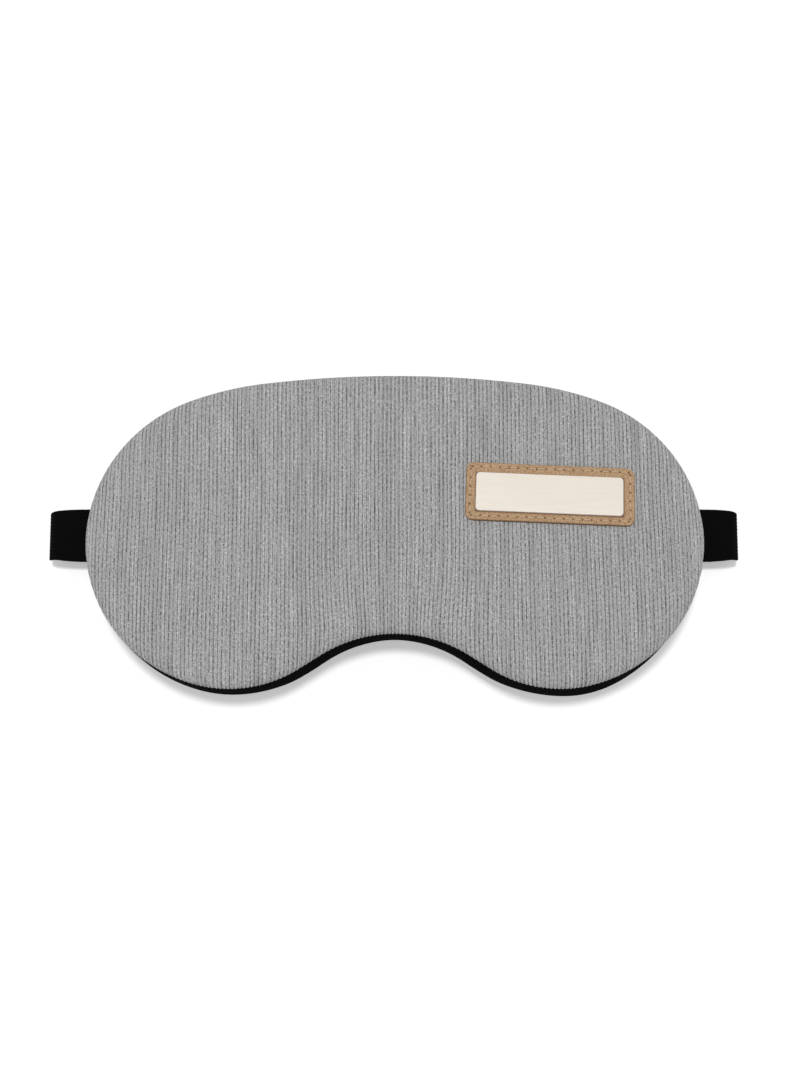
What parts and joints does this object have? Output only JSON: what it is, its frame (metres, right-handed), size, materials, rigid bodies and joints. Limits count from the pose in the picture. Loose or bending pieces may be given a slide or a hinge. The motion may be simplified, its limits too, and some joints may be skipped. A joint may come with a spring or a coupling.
{
  "type": "sleep eye mask",
  "caption": "Padded sleep eye mask with a ribbed knit front, black edge and back, a leather patch with a bare plate, and an elastic strap with ring and slider folded behind it.",
  "frame": {"origin": "bottom centre of the mask and strap together, on the surface it lies on", "axes": "+X along the width towards the patch's side, +Y towards the forehead edge, +Z out of the knit front"},
  "size_m": [0.23, 0.1058, 0.0225],
  "materials": {
    "front_knit": "heathered grey rib knit",
    "batting": "white soft batting",
    "foam": "open-cell foam",
    "liner": "opaque black film cloth",
    "band_fabric": "black woven",
    "back_fabric": "black brushed jersey",
    "leather": "tan, lightly grained",
    "plate": "cream, smooth",
    "thread": "waxed tan thread",
    "elastic": "black plush elastic",
    "tack_thread": "black sewing thread",
    "hardware": "black moulded, satin"
  },
  "bodies": {
    "strap": {"strap_side_left": "elastic", "strap_side_right": "elastic", "ring": "hardware", "ring_tab": "elastic", "tab_tack": "tack_thread", "strap_run": "elastic", "strap_return": "elastic"},
    "mask": {"back_cover": "back_fabric", "blackout_liner": "liner", "foam_core": "foam", "batting": "batting", "edge_band": "band_fabric", "front_cover": "front_knit", "leather_patch": "leather", "label_plate": "plate", "patch_stitches": "thread", "strap_end_left": "elastic", "strap_end_right": "elastic"},
    "slider": {"slider": "hardware", "slider_wrap": "elastic", "wrap_tack": "tack_thread"}
  },
  "joints": [
    {"name": "strap_stretch", "type": "slide", "parent": "strap", "child": "mask", "axis": [0, 0, 1], "range_m": [0, 0.08], "stiffness_N_per_m": 40, "deforming": ["strap_side_left", "strap_side_right"]},
    {"name": "slider_slide", "type": "slide", "parent": "strap", "child": "slider", "axis": [1, 0, 0], "range_m": [-0.03, 0.045], "deforming": ["strap_return"]}
  ]
}
